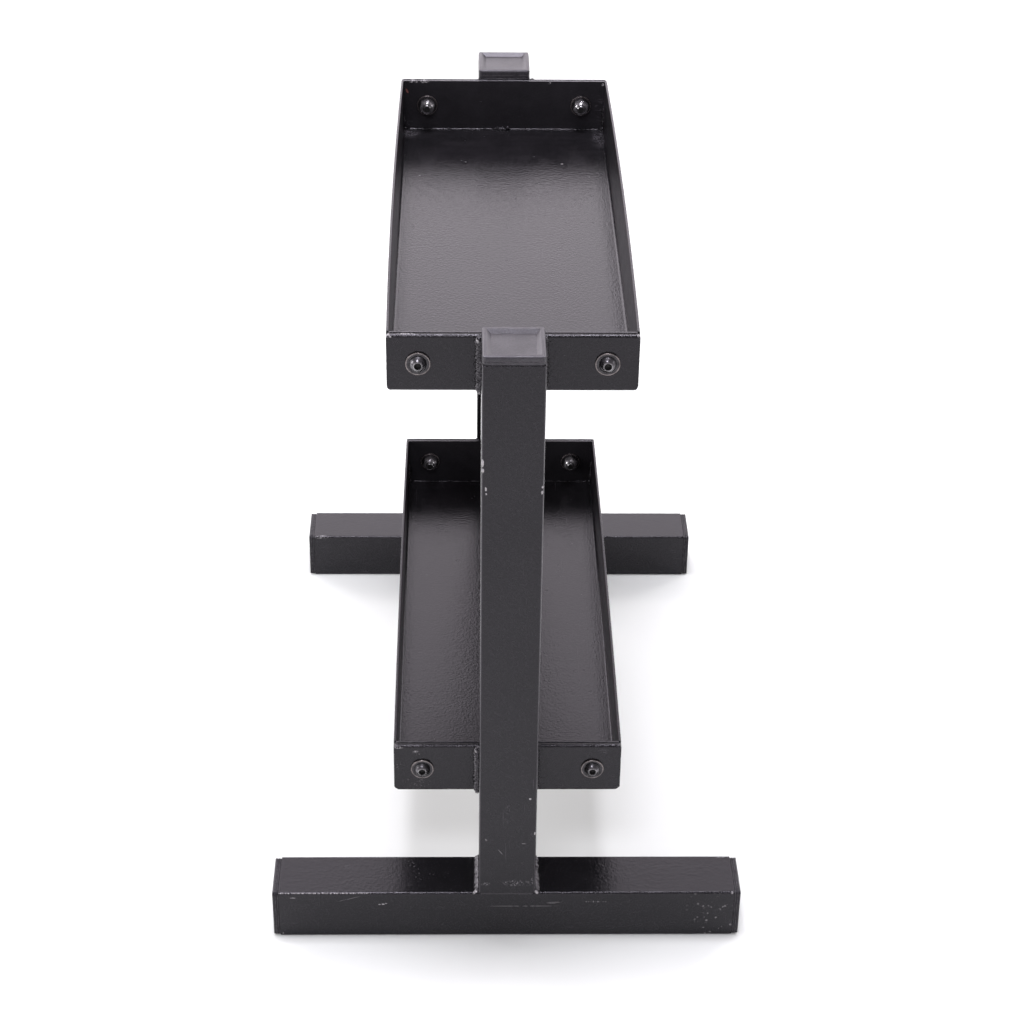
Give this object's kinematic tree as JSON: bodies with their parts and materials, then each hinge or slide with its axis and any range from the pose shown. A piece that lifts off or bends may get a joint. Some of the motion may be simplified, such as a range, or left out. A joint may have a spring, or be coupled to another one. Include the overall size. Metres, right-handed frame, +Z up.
{
  "type": "two-tier dumbbell rack",
  "caption": "Free-standing rack with welded square-tube end frames and bolted, open-topped sheet-steel trays on an upper and a lower tier.",
  "frame": {"origin": "on the ground under the middle of the rack", "axes": "+X along the trays, +Y from front to back across the feet, +Z up"},
  "size_m": [0.63, 0.417, 0.5912],
  "materials": {
    "powder_coat": "black semi-gloss powder coat over steel, light orange peel",
    "cap_plastic": "moulded black plastic with a fine grain",
    "dark_zinc": "black zinc plating with bright worn edges",
    "nylon": "smooth dark nylon",
    "weld_bead": "rippled weld metal under powder coat"
  },
  "bodies": {
    "root": {"foot_tube_left": "powder_coat", "foot_tube_right": "powder_coat", "upright_tube_left": "powder_coat", "upright_tube_right": "powder_coat", "foot_cap_left_front": "cap_plastic", "foot_cap_left_back": "cap_plastic", "foot_cap_right_front": "cap_plastic", "foot_cap_right_back": "cap_plastic", "upright_cap_left": "cap_plastic", "upright_cap_right": "cap_plastic", "upper_bracket_left": "powder_coat", "upper_bracket_right": "powder_coat", "lower_bracket_left": "powder_coat", "lower_bracket_right": "powder_coat", "upper_tray_pan": "powder_coat", "upper_tray_end_left": "powder_coat", "upper_tray_end_right": "powder_coat", "lower_tray_pan": "powder_coat", "lower_tray_end_left": "powder_coat", "lower_tray_end_right": "powder_coat", "upper_bolts": "dark_zinc", "lower_bolts": "dark_zinc", "upper_outer_washers": "dark_zinc", "lower_outer_washers": "dark_zinc", "upper_inner_washers": "dark_zinc", "lower_inner_washers": "dark_zinc", "upper_lock_nuts": "dark_zinc", "lower_lock_nuts": "dark_zinc", "upper_nut_inserts": "nylon", "lower_nut_inserts": "nylon", "foot_welds_left": "weld_bead", "foot_welds_right": "weld_bead", "bracket_welds_left": "weld_bead", "bracket_welds_right": "weld_bead", "upper_tray_welds": "weld_bead", "lower_tray_welds": "weld_bead"}
  },
  "joints": []
}
